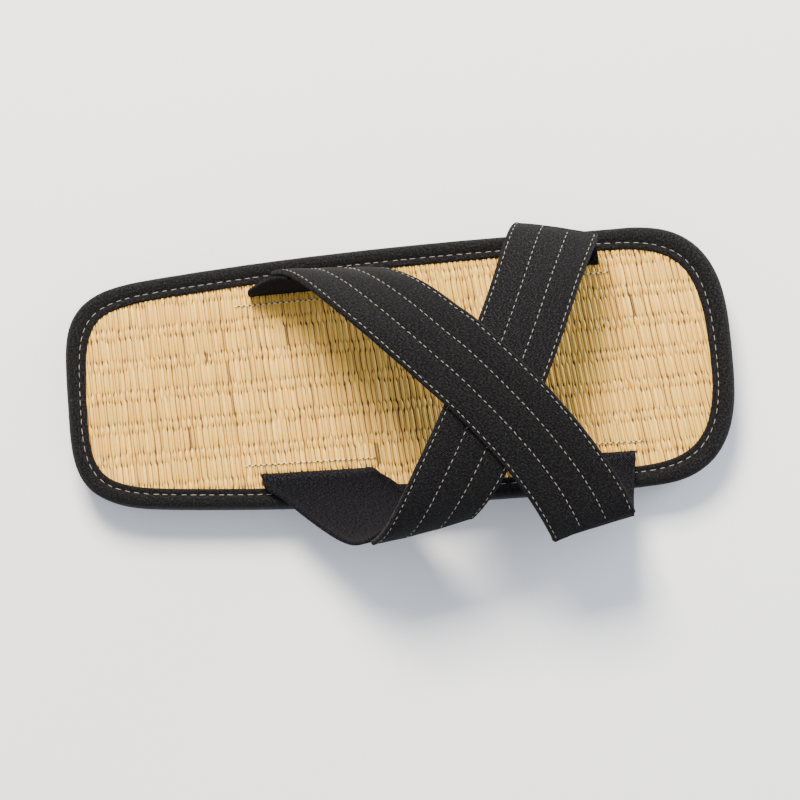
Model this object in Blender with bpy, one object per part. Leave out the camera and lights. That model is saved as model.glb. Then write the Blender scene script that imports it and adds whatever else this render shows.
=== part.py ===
# Zori sandal: a rush footbed bound in black tape on a flat rubber sole, with two padded straps that cross
# over the instep and four elastic gussets that carry the straps out of slots in the footbed.
# Metres, +Z up. The toe points along +X, the left side is +Y, and the origin lies on the floor under the
# middle of the sole.
import math

import bpy
import bmesh
import numpy as np

# Sole outline, seen from above
SOLE_LENGTH = 0.270
HEEL_WIDTH = 0.0924
WAIST_WIDTH = 0.1036
BALL_WIDTH = 0.1068
TOE_WIDTH = 0.1052
HEEL_ROUNDING = 0.0456
TOE_ROUNDING = 0.0460
HEEL_SQUARENESS = 4.1
TOE_SQUARENESS = 3.05
HALF_OUTLINE_STEPS = 46
OUTLINE_SAMPLES = 400
CORNER_CROWDING = 0.025

# Outsole
OUTSOLE_THICKNESS = 0.0110
OUTSOLE_INSET = 0.0008
OUTSOLE_SHOULDER = 0.0010
OUTSOLE_BOTTOM_CHAMFER = 0.0015
TOE_SPRING = 0.0022
TOE_SPRING_LENGTH = 0.040
HEEL_ROLL = 0.0010
HEEL_ROLL_LENGTH = 0.022

# Footbed and its binding
FOOTBED_THICKNESS = 0.0062
CLEARANCE = 0.0003
TAPE_THICKNESS = 0.0011
TAPE_TOP_WIDTH = 0.0077
TAPE_UNDER_WIDTH = 0.0060
TAPE_PUFF = 0.0006
TAPE_LOWER_CORNER = 0.0018
# Top of the tape, from its seam over the crest to the rim: how far in from the rim each corner lies, as a
# share of the top width, then how far above the footbed, as shares of the tape's thickness and of its puff
TAPE_CREST = (
    (1.00, 0.7, 0.0),
    (0.70, 1.0, 0.0),
    (0.40, 1.0, 1.0),
    (0.15, 0.5, 1.0),
    (0.00, -0.9, 0.0),
)

# Last: the empty space that the straps stand around
INSTEP_HEIGHT = 0.0490
INSTEP_STATION = 0.0370
INSTEP_FALL = 0.08
LAST_HALF_WIDTH = 0.0573
LAST_WIDTH_STATION = 0.0200
LAST_SPREAD = 0.09
REAR_LEFT_PINCH = 0.0024
REAR_LEFT_PINCH_START = 0.0450
REAR_LEFT_PINCH_FADE = 0.0450
LAST_ROUNDNESS = 2.0
BULGE_HEIGHT = 0.0190
SIDE_SAG = 0.0110
CURL_HEIGHT = 0.0024
FULL_CURL_REACH = 0.0080
SECTION_STEPS = 48
TURN_STRIDE = 8

# Straps
STRAP_WIDTH = 0.0332
STRAP_THICKNESS = 0.0026
STRAP_EDGE_THICKNESS = 0.0014
STRAP_JOIN_DEPTH = 0.0005
STRAP_RAMP = 0.0110
STRAP_REACH = 0.0660
FLARE_START = 0.0300
STRAP_STEPS = 34
# Places across a strap, from its heel edge to its toe edge, as shares of its half width,
# with the share of the full thickness that it has there
STRAP_PROFILE = (
    (-1.00, 0.0),
    (-0.90, 0.75),
    (-0.70, 1.0),
    (-0.25, 1.0),
    (0.25, 1.0),
    (0.70, 1.0),
    (0.90, 0.75),
    (1.00, 0.0),
)

# Line of each strap on the unrolled last: where it crosses the crown, how far it runs toward the toe for each
# metre toward the left, and how far it bows and eases over its reach
UNDER_CROWN = 0.0405
UNDER_SLOPE = 0.485
UNDER_BOW = -0.0049
OVER_CROWN = 0.0302
OVER_SLOPE = -0.923
OVER_BOW = -0.0078
OVER_EASE = 0.0104

# Ends of the straps: how far an end flares outward at its heel edge, how far it is slanted, how far its heel
# corner is tucked in, and how much shorter than the others it is cut
UNDER_LEFT_FLARE = 0.0040
UNDER_RIGHT_FLARE = 0.0045
OVER_LEFT_FLARE = 0.0030
OVER_RIGHT_FLARE = 0.0035
UNDER_LEFT_SLANT = 0.0030
UNDER_RIGHT_SLANT = 0.0040
OVER_LEFT_SLANT = 0.0040
OVER_RIGHT_SLANT = 0.0030
UNDER_RIGHT_CORNER = 0.0030
OVER_LEFT_CORNER = 0.0050
OVER_RIGHT_CUT = 0.0032

# Gussets
GUSSET_THICKNESS = 0.0012
GUSSET_OVERLAP = 0.0090
GUSSET_WIDTH_SHARE = 0.92
GUSSET_TURN = 0.0020
REAR_GUSSET_LENGTH = 0.0440
FRONT_GUSSET_LENGTH = 0.0380
SLOT_DEPTH_MARGIN = 0.0008
REAR_SLOT_STATION = -0.0360
FRONT_LEFT_SLOT_STATION = 0.0660
FRONT_RIGHT_SLOT_STATION = 0.0740
REAR_SLOT_OFFSET = 0.0385
FRONT_SLOT_OFFSET = 0.0402
GUSSET_COLUMNS = 7
GUSSET_TURN_STEPS = 3
GUSSET_FREE_STEPS = 9
GUSSET_LAP_STEPS = 3
FRONT_LEFT_TUCK = 0.0010
FRONT_RIGHT_TUCK = 0.0050
TUCK_SKEW = 1.4
REAR_RIGHT_SWELL = 0.0015
SWELL_END = 0.9
HEEL_EDGE_POWER = 1.35
TOE_EDGE_POWER = 0.75

FOOTBED_BOTTOM = OUTSOLE_THICKNESS + CLEARANCE
FOOTBED_TOP = FOOTBED_BOTTOM + FOOTBED_THICKNESS
SHARP_ANGLE = math.radians(40)
LEFT = 1
RIGHT = -1

STRAPS = {
    "under": {
        "crown": UNDER_CROWN,
        "slope": UNDER_SLOPE,
        "bow": UNDER_BOW,
        "ease": 0.0,
        "flare": {LEFT: UNDER_LEFT_FLARE, RIGHT: UNDER_RIGHT_FLARE},
        "slant": {LEFT: UNDER_LEFT_SLANT, RIGHT: UNDER_RIGHT_SLANT},
        "corner": {LEFT: 0.0, RIGHT: UNDER_RIGHT_CORNER},
        "cut": {LEFT: 0.0, RIGHT: 0.0},
    },
    "over": {
        "crown": OVER_CROWN,
        "slope": OVER_SLOPE,
        "bow": OVER_BOW,
        "ease": OVER_EASE,
        "flare": {LEFT: OVER_LEFT_FLARE, RIGHT: OVER_RIGHT_FLARE},
        "slant": {LEFT: OVER_LEFT_SLANT, RIGHT: OVER_RIGHT_SLANT},
        "corner": {LEFT: OVER_LEFT_CORNER, RIGHT: 0.0},
        "cut": {LEFT: 0.0, RIGHT: OVER_RIGHT_CUT},
    },
}

# Gussets by name: the strap end that each one carries, the middle and length of its slot, and how far its
# toe edge is tucked in and its heel edge swells out on the way up
GUSSETS = {
    "gusset_rear_left": ("over", LEFT, REAR_SLOT_STATION, REAR_GUSSET_LENGTH, 0.0, 0.0),
    "gusset_rear_right": ("under", RIGHT, REAR_SLOT_STATION, REAR_GUSSET_LENGTH, 0.0, REAR_RIGHT_SWELL),
    "gusset_front_left": ("under", LEFT, FRONT_LEFT_SLOT_STATION, FRONT_GUSSET_LENGTH, FRONT_LEFT_TUCK, 0.0),
    "gusset_front_right": ("over", RIGHT, FRONT_RIGHT_SLOT_STATION, FRONT_GUSSET_LENGTH, FRONT_RIGHT_TUCK, 0.0),
}


def remove_old_objects():
    for old in list(bpy.data.objects):
        bpy.data.objects.remove(old, do_unlink=True)


def material(name, colour, roughness):
    made = bpy.data.materials.new(name)
    made.use_nodes = True
    shader = made.node_tree.nodes["Principled BSDF"]
    shader.inputs["Base Color"].default_value = (*colour, 1.0)
    shader.inputs["Roughness"].default_value = roughness
    shader.inputs["Metallic"].default_value = 0.0
    return made


def add_object(name, points, faces, mat):
    mesh = bpy.data.meshes.new(name)
    mesh.from_pydata([tuple(p) for p in points], [], faces)
    shape = bmesh.new()
    shape.from_mesh(mesh)
    bmesh.ops.recalc_face_normals(shape, faces=shape.faces)
    shape.to_mesh(mesh)
    shape.free()
    mesh.shade_smooth()
    mesh.set_sharp_from_angle(angle=SHARP_ANGLE)
    made = bpy.data.objects.new(name, mesh)
    bpy.context.scene.collection.objects.link(made)
    made.data.materials.append(mat)
    return made


def smoothstep(value):
    t = np.clip(value, 0.0, 1.0)
    return t * t * (3.0 - 2.0 * t)


# Sole outline

WIDTH_STATIONS = (
    (0.10, HEEL_WIDTH),
    (0.40, WAIST_WIDTH),
    (0.66, BALL_WIDTH),
    (0.92, TOE_WIDTH),
)


def half_width(x):
    """Half width of the sole at distance x from its heel end."""
    share = x / SOLE_LENGTH
    base = np.zeros_like(share)
    for station, width in WIDTH_STATIONS:
        weight = np.full_like(share, width / 2)
        for other, _ in WIDTH_STATIONS:
            if other != station:
                weight = weight * (share - other) / (station - other)
        base = base + weight
    heel = 1.0 - np.clip(x / HEEL_ROUNDING, 0.0, 1.0)
    toe = 1.0 - np.clip((SOLE_LENGTH - x) / TOE_ROUNDING, 0.0, 1.0)
    heel_cap = (1.0 - heel ** HEEL_SQUARENESS) ** (1.0 / HEEL_SQUARENESS)
    toe_cap = (1.0 - toe ** TOE_SQUARENESS) ** (1.0 / TOE_SQUARENESS)
    return base * heel_cap * toe_cap


def left_outline():
    """Points along the left side from heel tip to toe tip, closer together round the corners."""
    angle = np.linspace(0.0, math.pi / 2, OUTLINE_SAMPLES)
    heel = HEEL_ROUNDING * (1.0 - np.cos(angle) ** (2.0 / HEEL_SQUARENESS))
    toe = SOLE_LENGTH - TOE_ROUNDING * (1.0 - np.cos(angle[::-1]) ** (2.0 / TOE_SQUARENESS))
    middle = np.linspace(HEEL_ROUNDING, SOLE_LENGTH - TOE_ROUNDING, OUTLINE_SAMPLES)
    x = np.concatenate([heel[:-1], middle, toe[1:]])
    fine = np.column_stack([x, half_width(x)])
    step = np.diff(fine, axis=0)
    length = np.hypot(step[:, 0], step[:, 1])
    heading = np.unwrap(np.arctan2(step[:, 1], step[:, 0]))
    turn = np.abs(np.diff(heading, append=heading[-1]))
    travel = np.concatenate([[0.0], np.cumsum(length + CORNER_CROWDING * turn)])
    places = np.linspace(0.0, travel[-1], HALF_OUTLINE_STEPS + 1)
    even_x = np.interp(places, travel, fine[:, 0])
    even_y = np.interp(places, travel, fine[:, 1])
    return np.column_stack([even_x, even_y])


def closed_outline():
    """The whole outline, from heel tip along the left side to the toe tip and back along the right."""
    left = left_outline()
    right = left[-2:0:-1] * (1.0, -1.0)
    loop = np.vstack([left, right])
    loop[:, 0] -= SOLE_LENGTH / 2
    return loop


OUTLINE = closed_outline()
ALONG = np.roll(OUTLINE, -1, axis=0) - np.roll(OUTLINE, 1, axis=0)
INWARD = np.column_stack([ALONG[:, 1], -ALONG[:, 0]]) / np.hypot(ALONG[:, 0], ALONG[:, 1])[:, None]


def ring(inset, height):
    """The outline moved inward, at a height that may change from point to point."""
    flat = OUTLINE + INWARD * inset
    return np.column_stack([flat, np.broadcast_to(height, len(flat))])


def wall_faces(ring_count, size, closed):
    """Quads between neighbouring rings, and from the last to the first if the stack is closed."""
    faces = []
    for level in range(ring_count if closed else ring_count - 1):
        below = level * size
        above = ((level + 1) % ring_count) * size
        for i in range(size):
            j = (i + 1) % size
            faces.append((below + i, below + j, above + j, above + i))
    return faces


def cap_faces(first, size):
    """Strips across the sole, from each point on the left to its mirror on the right."""
    half = size // 2
    faces = [(first, first + 1, first + size - 1)]
    for i in range(1, half - 1):
        faces.append((first + i, first + i + 1, first + size - i - 1, first + size - i))
    faces.append((first + half - 1, first + half, first + half + 1))
    return faces


def plate(name, rings, mat):
    """A solid between the first and last of a stack of rings."""
    size = len(OUTLINE)
    faces = wall_faces(len(rings), size, closed=False)
    faces += cap_faces(0, size)
    faces += cap_faces((len(rings) - 1) * size, size)
    return add_object(name, np.vstack(rings), faces, mat)


# Sole

def bottom_rise(x):
    """How far the underside lifts off the floor at the toe and at the heel."""
    toe = np.clip((x - SOLE_LENGTH / 2 + TOE_SPRING_LENGTH) / TOE_SPRING_LENGTH, 0.0, 1.0)
    heel = np.clip((HEEL_ROLL_LENGTH - SOLE_LENGTH / 2 - x) / HEEL_ROLL_LENGTH, 0.0, 1.0)
    return TOE_SPRING * toe ** 2 + HEEL_ROLL * heel ** 2


def make_outsole(mat):
    rise = bottom_rise(OUTLINE[:, 0])
    rings = [
        ring(OUTSOLE_INSET + OUTSOLE_BOTTOM_CHAMFER, rise),
        ring(OUTSOLE_INSET, rise + OUTSOLE_BOTTOM_CHAMFER),
        ring(OUTSOLE_INSET, OUTSOLE_THICKNESS - OUTSOLE_SHOULDER),
        ring(OUTSOLE_INSET + OUTSOLE_SHOULDER, OUTSOLE_THICKNESS),
    ]
    return plate("outsole", rings, mat)


def slot_offset(x):
    """How far out the gusset line runs at a station, through both slots."""
    share = (x - REAR_SLOT_STATION) / (FRONT_RIGHT_SLOT_STATION - REAR_SLOT_STATION)
    return REAR_SLOT_OFFSET + share * (FRONT_SLOT_OFFSET - REAR_SLOT_OFFSET)


def slot_cutter(name, side, station, gusset_length):
    """A box, slanted along the gusset line, that cuts one slot through the footbed."""
    bpy.ops.mesh.primitive_cube_add(size=1.0)
    box = bpy.context.active_object
    box.name = name
    length = gusset_length + 2 * CLEARANCE
    width = GUSSET_THICKNESS + 2 * CLEARANCE
    middle = (FOOTBED_BOTTOM + FOOTBED_TOP) / 2
    for vertex in box.data.vertices:
        x = vertex.co.x * length + station
        centre = slot_offset(x) - CLEARANCE - GUSSET_THICKNESS / 2
        vertex.co.x = x
        vertex.co.y = vertex.co.y * width + side * centre
        vertex.co.z = vertex.co.z * 2 * FOOTBED_THICKNESS + middle
    box.hide_render = True
    box.display_type = "WIRE"
    return box


def make_footbed(mat):
    rim = TAPE_THICKNESS + CLEARANCE
    step_in = TAPE_UNDER_WIDTH + CLEARANCE
    rings = [
        ring(step_in, FOOTBED_BOTTOM),
        ring(step_in, FOOTBED_BOTTOM + rim),
        ring(rim, FOOTBED_BOTTOM + rim),
        ring(rim, FOOTBED_TOP),
    ]
    footbed = plate("insole_mat", rings, mat)
    for name, (_, side, station, length, _, _) in GUSSETS.items():
        cut = footbed.modifiers.new(name, "BOOLEAN")
        cut.operation = "DIFFERENCE"
        cut.solver = "EXACT"
        cut.object = slot_cutter(f"{name}_slot", side, station, length)
    return footbed


def make_binding(mat):
    """Tape folded round the rim of the footbed, padded over the top."""
    low = FOOTBED_BOTTOM
    top = FOOTBED_TOP + CLEARANCE
    seat = FOOTBED_BOTTOM + TAPE_THICKNESS
    rings = [ring(TAPE_TOP_WIDTH, top)]
    for inset, thick, puff in TAPE_CREST:
        height = top + TAPE_THICKNESS * thick + TAPE_PUFF * puff
        rings.append(ring(TAPE_TOP_WIDTH * inset, height))
    rings += [
        ring(0.0, low + TAPE_LOWER_CORNER),
        ring(TAPE_THICKNESS, low),
        ring(TAPE_UNDER_WIDTH, low),
        ring(TAPE_UNDER_WIDTH, seat),
        ring(TAPE_THICKNESS, seat),
        ring(TAPE_THICKNESS, top),
    ]
    faces = wall_faces(len(rings), len(OUTLINE), closed=True)
    return add_object("edge_binding", np.vstack(rings), faces, mat)


# Last

def section(x, side):
    """One side of the last at a station, from the crown round the bulge and into the slot.

    Where the bulge stands well outside the slot, the side curls in to lie along the sole. Where it stands
    above the slot, the side runs straight down. Returns the distance travelled, y and z of each point, and
    the travel at which the slot's turn starts.
    """
    bulge = LAST_HALF_WIDTH + LAST_SPREAD * (x - LAST_WIDTH_STATION)
    if side == LEFT:
        bulge -= REAR_LEFT_PINCH * smoothstep((REAR_LEFT_PINCH_START - x) / REAR_LEFT_PINCH_FADE)
    crown = INSTEP_HEIGHT - INSTEP_FALL * (x - INSTEP_STATION)
    reach = bulge - side * SIDE_SAG
    spread = float(np.clip((reach - slot_offset(x) - GUSSET_TURN) / FULL_CURL_REACH, 0.0, 1.0))
    turn_width = GUSSET_TURN * spread
    inner = slot_offset(x) + turn_width
    power = 2.0 / LAST_ROUNDNESS
    arch = np.linspace(0.0, math.pi / 2, SECTION_STEPS)
    arch_y = side * bulge * np.sin(arch) ** power - SIDE_SAG
    arch_z = BULGE_HEIGHT + (crown - BULGE_HEIGHT) * np.abs(np.cos(arch)) ** power
    curl = arch[1:]
    curl_y = side * (inner + (reach - inner) * np.cos(curl))
    drop = spread * np.sin(curl) + (1.0 - spread) * (1.0 - np.cos(curl))
    curl_z = BULGE_HEIGHT - (BULGE_HEIGHT - CURL_HEIGHT) * drop
    turn = arch[TURN_STRIDE::TURN_STRIDE]
    turn_y = side * (inner - turn_width * np.sin(turn))
    turn_z = CURL_HEIGHT - GUSSET_TURN * (1.0 - np.cos(turn))
    drop_y = np.array([side * (inner - turn_width)])
    drop_z = np.array([-FOOTBED_THICKNESS + SLOT_DEPTH_MARGIN])
    y = np.concatenate([arch_y, curl_y, turn_y, drop_y])
    z = np.concatenate([arch_z, curl_z, turn_z, drop_z])
    travel = np.concatenate([[0.0], np.cumsum(np.hypot(np.diff(y), np.diff(z)))])
    return travel, y, z, travel[len(arch_y) + len(curl_y) - 1]


def last_point(x, s, lean):
    """The point at travel s from the crown, left positive, moved outward by lean."""
    side = LEFT if s >= 0 else RIGHT
    travel, y, z, _ = section(x, side)
    place_y = np.interp(abs(s), travel, y)
    place_z = np.interp(abs(s), travel, z)
    return np.array([x, place_y + side * lean, place_z + FOOTBED_TOP])


# Straps

def centre_line(strap, s):
    """Station of a strap's centre line, and how fast it runs toward the toe."""
    share = s / STRAP_REACH
    bend = strap["bow"] * share ** 2 + strap["ease"] * share ** 3
    turn = (2.0 * strap["bow"] * share + 3.0 * strap["ease"] * share ** 2) / STRAP_REACH
    return strap["crown"] + strap["slope"] * s + bend, strap["slope"] + turn


def strap_end(strap, v, side):
    """Travel along the centre line at which the lengthwise line v of a strap ends."""
    corner = strap["corner"][side] * max(-v, 0.0) ** 2
    reach = side * (STRAP_REACH - strap["cut"][side] - corner - strap["slant"][side] * v)
    _, run = centre_line(strap, reach)
    return reach + v * STRAP_WIDTH / 2 * run / math.hypot(1.0, run)


def unrolled(strap, s, v):
    """Station and travel of a point on a strap: v is its place across, from -1 at the heel edge to 1."""
    station, run = centre_line(strap, s)
    across = v * STRAP_WIDTH / 2 / math.hypot(1.0, run)
    return station + across, s - across * run


def strap_point(strap, s, v):
    """Where a point of a strap lies on the last, with its ends flared at the heel edge."""
    station, travel = unrolled(strap, s, v)
    side = LEFT if travel >= 0 else RIGHT
    share = (abs(travel) - FLARE_START) / (STRAP_REACH - FLARE_START)
    lean = -strap["flare"][side] * v * smoothstep(share)
    return last_point(station, travel, lean)


def cover(station, travel):
    """How fully a place on the last is covered by the under strap, fading over a ramp beside it."""
    middle, run = centre_line(STRAPS["under"], travel)
    distance = abs(station - middle) / math.hypot(1.0, run)
    return smoothstep((STRAP_WIDTH / 2 + STRAP_RAMP - distance) / STRAP_RAMP)


def outward(grid):
    """Unit normals of a grid of points, pointing away from the last."""
    normal = np.cross(np.gradient(grid, axis=1), np.gradient(grid, axis=0))
    return normal / np.linalg.norm(normal, axis=2)[:, :, None]


def make_strap(name, mat):
    """One flat padded band, as a closed stack of rings from its right end to its left end."""
    strap = STRAPS[name]
    rows = []
    lifts = []
    for step in np.linspace(0.0, 1.0, STRAP_STEPS + 1):
        row = []
        lift = []
        for v, _ in STRAP_PROFILE:
            first = strap_end(strap, v, RIGHT)
            last = strap_end(strap, v, LEFT)
            s = first + (last - first) * step
            row.append(strap_point(strap, s, v))
            raised = STRAP_THICKNESS - STRAP_JOIN_DEPTH if name == "over" else 0.0
            lift.append(raised * cover(*unrolled(strap, s, v)))
        rows.append(row)
        lifts.append(lift)
    grid = np.array(rows)
    normal = outward(grid)
    fullness = np.array([share for _, share in STRAP_PROFILE])
    depth = STRAP_EDGE_THICKNESS + (STRAP_THICKNESS - STRAP_EDGE_THICKNESS) * fullness
    inner = grid + normal * np.array(lifts)[:, :, None]
    outer = inner + normal * depth[None, :, None]
    rings = [np.vstack([under, over[::-1]]) for under, over in zip(inner, outer)]
    return closed_band(f"strap_{name}", rings, len(STRAP_PROFILE), mat)


def closed_band(name, rings, width, mat):
    """A solid from a stack of rings, each with width points on one face and then width on the other."""
    size = 2 * width
    faces = wall_faces(len(rings), size, closed=False)
    for first in (0, (len(rings) - 1) * size):
        for i in range(width - 1):
            faces.append((first + i, first + i + 1, first + size - 2 - i, first + size - 1 - i))
    return add_object(name, np.vstack(rings), faces, mat)


def make_straps(mat):
    """The upper: both bands, joined where they cross."""
    upper = make_strap("under", mat)
    upper.name = "straps"
    over = make_strap("over", mat)
    over.hide_render = True
    over.display_type = "WIRE"
    join = upper.modifiers.new("join", "BOOLEAN")
    join.operation = "UNION"
    join.solver = "EXACT"
    join.object = over
    return upper


# Gussets

def gusset_line(strap, side, station, length, tuck, swell, share):
    """One line of a gusset, from the bottom of its slot up to the strap and on under its end."""
    v = GUSSET_WIDTH_SHARE * (2.0 * share - 1.0)
    end = strap_end(strap, v, side)
    end_x, end_s = unrolled(strap, end, v)
    slot_x = station + length * (share - 0.5)
    points = []
    slot_travel, _, _, turn_start = section(slot_x, side)
    turn_end = slot_travel[-2]
    points.append(last_point(slot_x, side * slot_travel[-1], 0.0))
    for step in np.linspace(1.0, 0.0, GUSSET_TURN_STEPS, endpoint=False):
        points.append(last_point(slot_x, side * (turn_start + (turn_end - turn_start) * step), 0.0))
    _, _, _, end_turn = section(end_x, side)
    power = HEEL_EDGE_POWER + share * (TOE_EDGE_POWER - HEEL_EDGE_POWER)
    for step in np.linspace(0.0, 1.0, GUSSET_FREE_STEPS + 1):
        x = slot_x + (end_x - slot_x) * step ** power
        _, _, _, turn_here = section(x, side)
        s = turn_here - (end_turn - abs(end_s)) * step
        lean = -strap["flare"][side] * v * smoothstep(step)
        lean -= tuck * share * math.sin(math.pi * step ** TUCK_SKEW)
        lean += swell * (1.0 - share) * math.sin(math.pi * min(step / SWELL_END, 1.0))
        points.append(last_point(x, side * s, lean))
    for step in np.linspace(0.0, 1.0, GUSSET_LAP_STEPS + 1)[1:]:
        points.append(strap_point(strap, end - side * GUSSET_OVERLAP * step, v))
    return points


def make_gusset(name, mat):
    """An elastic web of even thickness, just inside the last."""
    strap_name, *place = GUSSETS[name]
    strap = STRAPS[strap_name]
    side = place[0]
    shares = np.linspace(0.0, 1.0, GUSSET_COLUMNS)
    grid = np.array([gusset_line(strap, *place, share) for share in shares])
    grid = grid.transpose(1, 0, 2)
    normal = outward(grid) * side * -1
    outer = grid - normal * CLEARANCE
    inner = outer - normal * GUSSET_THICKNESS
    rings = [np.vstack([under, over[::-1]]) for under, over in zip(inner, outer)]
    return closed_band(name, rings, GUSSET_COLUMNS, mat)


def main():
    remove_old_objects()
    rubber = material("sole_rubber", (0.018, 0.018, 0.019), 0.72)
    rush = material("woven_rush", (0.72, 0.56, 0.32), 0.62)
    tape = material("binding_tape", (0.022, 0.022, 0.025), 0.85)
    twill = material("strap_twill", (0.026, 0.026, 0.030), 0.88)
    elastic = material("gusset_elastic", (0.014, 0.016, 0.024), 0.80)
    make_outsole(rubber)
    make_footbed(rush)
    make_binding(tape)
    make_straps(twill)
    for name in GUSSETS:
        make_gusset(name, elastic)


main()
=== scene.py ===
# %% [markdown]
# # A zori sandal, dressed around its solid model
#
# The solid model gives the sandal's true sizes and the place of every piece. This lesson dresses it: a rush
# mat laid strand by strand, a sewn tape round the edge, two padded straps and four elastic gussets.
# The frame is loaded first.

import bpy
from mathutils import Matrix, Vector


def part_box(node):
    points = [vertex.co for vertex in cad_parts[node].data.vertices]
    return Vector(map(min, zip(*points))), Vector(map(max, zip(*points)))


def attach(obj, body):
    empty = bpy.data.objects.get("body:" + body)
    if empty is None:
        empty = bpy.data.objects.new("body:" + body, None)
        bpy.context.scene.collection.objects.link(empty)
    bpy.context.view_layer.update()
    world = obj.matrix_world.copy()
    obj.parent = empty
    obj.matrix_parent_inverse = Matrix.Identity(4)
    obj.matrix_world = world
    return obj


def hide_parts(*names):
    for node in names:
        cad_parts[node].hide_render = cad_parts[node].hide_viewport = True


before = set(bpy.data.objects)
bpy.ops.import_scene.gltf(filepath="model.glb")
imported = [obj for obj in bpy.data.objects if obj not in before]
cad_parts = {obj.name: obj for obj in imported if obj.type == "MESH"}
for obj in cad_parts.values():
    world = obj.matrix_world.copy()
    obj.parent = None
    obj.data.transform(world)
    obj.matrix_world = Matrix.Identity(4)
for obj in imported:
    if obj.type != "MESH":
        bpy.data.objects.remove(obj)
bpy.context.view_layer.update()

# %% Modules used below
import math

import bpy
import numpy as np
from mathutils import Matrix, Vector

rng = np.random.default_rng(11)
MM = 0.001

# %% [markdown]
# ## The outline of the sole
#
# The sole is the same on both sides. Its half width is a smooth curve through four widths, and a rounded
# cap closes each end: an exponent of 2 would be an ellipse, and larger ones are squarer. A formula keeps
# the corners fair at any number of points, where a traced outline would show its joints.

# %% Sizes of the sole, in metres
SOLE_LENGTH = 0.270
SOLE_WIDTHS = ((0.10, 0.0924), (0.40, 0.1036), (0.66, 0.1068), (0.92, 0.1052))
HEEL_ROUNDING = 0.0456
HEEL_SQUARENESS = 4.1
TOE_ROUNDING = 0.0460
TOE_SQUARENESS = 3.05
FOOTBED_LOW, FOOTBED_HIGH = (corner[2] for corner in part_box("insole_mat"))
OUTSOLE_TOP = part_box("outsole")[1][2]
print("footbed from", round(FOOTBED_LOW, 4), "to", round(FOOTBED_HIGH, 4))


# %% Outline points, evenly spaced along the edge
def end_cap(distance, length, squareness):
    """How far the outline has opened at a distance from its tip, from 0 to 1."""
    rest = 1.0 - np.clip(distance / length, 0.0, 1.0)
    return (1.0 - rest ** squareness) ** (1.0 / squareness)


def half_width(x):
    """Half width of the sole at distance x from its heel end."""
    share = x / SOLE_LENGTH
    base = np.zeros_like(share)
    for station, width in SOLE_WIDTHS:
        weight = np.full_like(share, width / 2)
        for other, _ in SOLE_WIDTHS:
            if other != station:
                weight = weight * (share - other) / (station - other)
        base = base + weight
    heel = end_cap(x, HEEL_ROUNDING, HEEL_SQUARENESS)
    return base * heel * end_cap(SOLE_LENGTH - x, TOE_ROUNDING, TOE_SQUARENESS)


def travel_along(points):
    steps = np.linalg.norm(np.diff(points, axis=0), axis=1)
    return np.concatenate([[0.0], np.cumsum(steps)])


def sample(at, along, rows):
    """Points of a row, read at other distances along it."""
    return np.column_stack([np.interp(at, along, column) for column in rows.T])


def closed_outline(steps_per_side):
    """The outline from the heel tip along the left side to the toe tip and back along the right."""
    angle = np.linspace(0.0, math.pi / 2, 900)
    heel = HEEL_ROUNDING * (1.0 - np.cos(angle) ** (2.0 / HEEL_SQUARENESS))
    toe = SOLE_LENGTH - TOE_ROUNDING * (1.0 - np.cos(angle[::-1]) ** (2.0 / TOE_SQUARENESS))
    middle = np.linspace(HEEL_ROUNDING, SOLE_LENGTH - TOE_ROUNDING, 600)
    x = np.concatenate([heel[:-1], middle, toe[1:]])
    fine = np.column_stack([x, half_width(x)])
    travel = travel_along(fine)
    places = np.linspace(0.0, travel[-1], steps_per_side + 1)
    left = sample(places, travel, fine)
    loop = np.vstack([left, left[-2:0:-1] * (1.0, -1.0)])
    loop[:, 0] -= SOLE_LENGTH / 2
    return loop


EDGE_STEPS = 330
EDGE = closed_outline(EDGE_STEPS)
EDGE_RUN = np.roll(EDGE, -1, axis=0) - np.roll(EDGE, 1, axis=0)
EDGE_INWARD = np.column_stack([EDGE_RUN[:, 1], -EDGE_RUN[:, 0]])
EDGE_INWARD /= np.linalg.norm(EDGE_INWARD, axis=1)[:, None]
EDGE_TRAVEL = travel_along(np.vstack([EDGE, EDGE[:1]]))
print("outline is", round(EDGE_TRAVEL[-1], 4), "m round")


# %% [markdown]
# ## Helpers that turn rows of points into meshes
#
# Every soft piece here is a stack of rings or a grid. One helper joins neighbouring rings with quads, and
# another writes the mesh and its flat sewing pattern as a UV map in metres.

# %% Mesh helpers
def ring_faces(ring_count, size, closed_stack):
    """Quads between neighbouring rings of one size, and from the last to the first if the stack closes."""
    levels = np.arange(ring_count if closed_stack else ring_count - 1)
    level, i = np.meshgrid(levels, np.arange(size), indexing="ij")
    below = level * size
    above = ((level + 1) % ring_count) * size
    j = (i + 1) % size
    return np.stack([below + i, below + j, above + j, above + i], axis=-1).reshape(-1, 4)


def link_object(name, data):
    made = bpy.data.objects.new(name, data)
    bpy.context.scene.collection.objects.link(made)
    return made


def make_piece(name, points, faces, mat, flat=None, tone=None):
    """An object with smooth faces, an optional flat pattern per point and an optional tone per point."""
    mesh = bpy.data.meshes.new(name)
    mesh.from_pydata(np.asarray(points).tolist(), [], [list(face) for face in faces])
    mesh.validate()
    mesh.shade_smooth()
    if flat is not None:
        corners = np.empty(len(mesh.loops), dtype=np.int32)
        mesh.loops.foreach_get("vertex_index", corners)
        layer = mesh.uv_layers.new(name="pattern")
        layer.data.foreach_set("uv", np.asarray(flat, dtype=np.float32)[corners].ravel())
    if tone is not None:
        layer = mesh.attributes.new("tone", "FLOAT", "POINT")
        layer.data.foreach_set("value", np.asarray(tone, dtype=np.float32))
    mesh.materials.append(mat)
    print(name, len(mesh.polygons), "faces")
    return link_object(name, mesh)


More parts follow.
